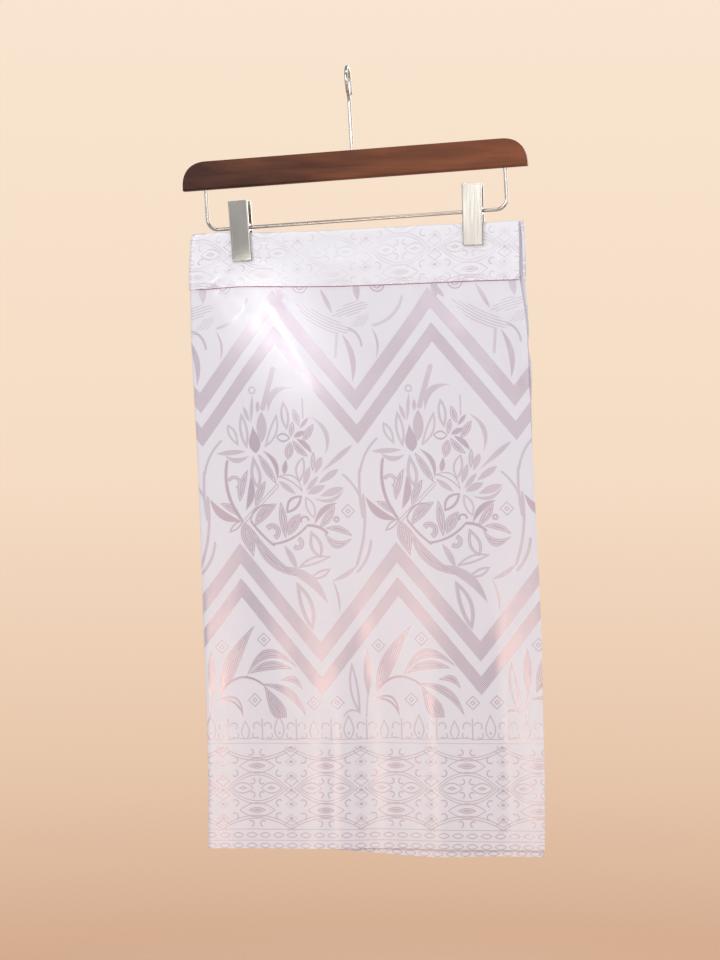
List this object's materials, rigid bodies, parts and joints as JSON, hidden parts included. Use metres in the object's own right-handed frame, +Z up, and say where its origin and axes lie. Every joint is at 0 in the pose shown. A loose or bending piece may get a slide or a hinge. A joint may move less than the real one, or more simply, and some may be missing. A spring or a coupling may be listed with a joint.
{
  "type": "samping on a clip hanger",
  "caption": "Ready-made patterned satin samping with a waistband, folded flat and clipped by its top edge to a wooden hanger with a wire hook.",
  "frame": {"origin": "the point inside the hook's bend that rests on a rail", "axes": "+X to the right along the rail, +Y away from the front flap, +Z up"},
  "size_m": [0.3756, 0.0321, 0.8076],
  "materials": {
    "panel_satin": "pale mauve-white satin with woven figures in mauve and rose thread",
    "waistband_satin": "pale satin with a faint woven border network",
    "closure_tape": "white hook-and-loop tape",
    "stained_wood": "dark red-brown stain under satin lacquer",
    "wire_chrome": "polished",
    "clip_steel": "satin nickel",
    "clip_rubber": "matt black",
    "clip_spring": "coppery wire"
  },
  "bodies": {
    "root": {"front_panel": "panel_satin", "back_panel": "panel_satin", "underlap_panel": "panel_satin", "waistband_front": "waistband_satin", "waistband_back": "waistband_satin", "waistband_underlap": "waistband_satin", "closure_tape": "closure_tape", "hanger_bar": "stained_wood", "hanger_hook": "wire_chrome", "hanger_wire": "wire_chrome", "clip_left_front_plate": "clip_steel", "clip_left_back_plate": "clip_steel", "clip_left_front_pad": "clip_rubber", "clip_left_back_pad": "clip_rubber", "clip_left_spring": "clip_spring", "clip_right_front_plate": "clip_steel", "clip_right_back_plate": "clip_steel", "clip_right_front_pad": "clip_rubber", "clip_right_back_pad": "clip_rubber", "clip_right_spring": "clip_spring"}
  },
  "joints": []
}
